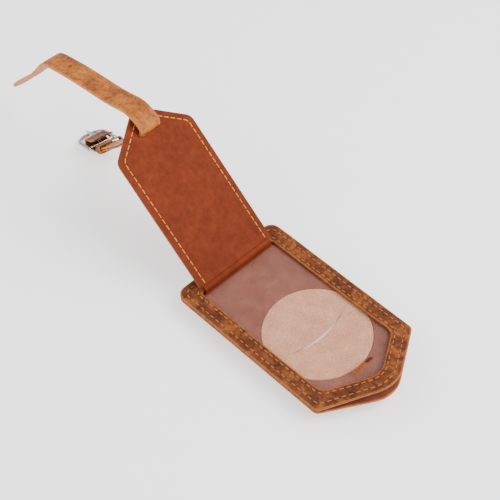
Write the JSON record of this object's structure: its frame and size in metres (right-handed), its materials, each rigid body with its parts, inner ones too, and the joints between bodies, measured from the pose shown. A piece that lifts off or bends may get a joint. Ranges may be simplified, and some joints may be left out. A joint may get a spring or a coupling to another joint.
{
  "type": "tracker luggage tag",
  "caption": "Leather luggage tag whose windowed pocket holds a coin-shaped tracker behind a slit suede disc, with a lined flap and a stitched strap ending in a small buckle.",
  "frame": {"origin": "centre of the rear pouch's flat underside, on the tracker's axis", "axes": "+X from the flap hinge towards the pocket's pointed mouth, +Z out of the window face, +Y to the left seen from the hinge"},
  "size_m": [0.2614, 0.0616, 0.0687],
  "materials": {
    "frame_leather": "oiled pull-up leather, mottled, paler along cut edges",
    "lining_leather": "smooth tan leather with sewn edge",
    "strap_leather": "waxed tan strap leather, stitched edges",
    "clear_vinyl": "clear soft vinyl sheet, faintly hazy",
    "pale_suede": "fine pale suede",
    "dark_suede": "brown suede",
    "white_plastic": "moulded white plastic",
    "cell_steel": "nickel-plated steel",
    "board": "glass-fibre circuit board",
    "sounder_brass": "brass sounder disc",
    "nickel": "polished nickel plate"
  },
  "bodies": {
    "body": {"back_panel": "frame_leather", "front_frame": "frame_leather", "clear_window": "clear_vinyl", "slit_disc": "pale_suede", "rear_pouch": "dark_suede", "tracker_shell": "white_plastic", "coin_cell": "cell_steel", "circuit_board": "board", "sounder": "sounder_brass", "cell_contact": "cell_steel", "flap_fold": "frame_leather"},
    "door": {"tracker_door": "white_plastic"},
    "flap": {"flap_outer": "frame_leather", "flap_lining": "lining_leather", "strap_in_slot": "strap_leather"},
    "tail": {"tail_face": "strap_leather", "tail_back": "strap_leather"},
    "tip": {"tip_face": "strap_leather", "tip_back": "strap_leather"},
    "leg": {"buckle_leg_outer": "strap_leather", "buckle_leg_lining": "strap_leather"},
    "keeper": {"keeper_loop": "lining_leather"},
    "buckle": {"buckle_frame": "nickel", "buckle_bar": "nickel"},
    "prong": {"buckle_prong": "nickel"}
  },
  "joints": [
    {"name": "flap_hinge", "type": "hinge", "parent": "body", "child": "flap", "pos_m": [-0.05134, 0, 0.0113], "axis": [0, 1, 0], "range_deg": [-36, 133]},
    {"name": "tail_swing", "type": "hinge", "parent": "flap", "child": "tail", "pos_m": [-0.10823, 0, 0.06496], "axis": [0, 1, 0], "range_deg": [0, 30]},
    {"name": "tip_bend", "type": "hinge", "parent": "tail", "child": "tip", "pos_m": [-0.17338, 0, 0.05899], "axis": [0, 1, 0], "range_deg": [-30, 30]},
    {"name": "buckle_swing", "type": "hinge", "parent": "flap", "child": "leg", "pos_m": [-0.11031, 0, 0.05661], "axis": [0.1633, 0.9866, 0], "range_deg": [-50, 15]},
    {"name": "keeper_slide", "type": "slide", "parent": "leg", "child": "keeper", "axis": [0.7097, -0.1175, 0.6947], "range_m": [0, 0.008]},
    {"name": "buckle_turn", "type": "hinge", "parent": "leg", "child": "buckle", "pos_m": [-0.16127, 0.00844, 0.00721], "axis": [0.1633, 0.9866, 0], "range_deg": [-25, 10]},
    {"name": "prong_turn", "type": "hinge", "parent": "buckle", "child": "prong", "pos_m": [-0.16127, 0.00844, 0.00721], "axis": [0.1633, 0.9866, 0], "range_deg": [0, 30]},
    {"name": "door_twist", "type": "hinge", "parent": "body", "child": "door", "pos_m": [0, 0, 0.0014], "axis": [0, 0, 1], "range_deg": [0, 25]}
  ]
}
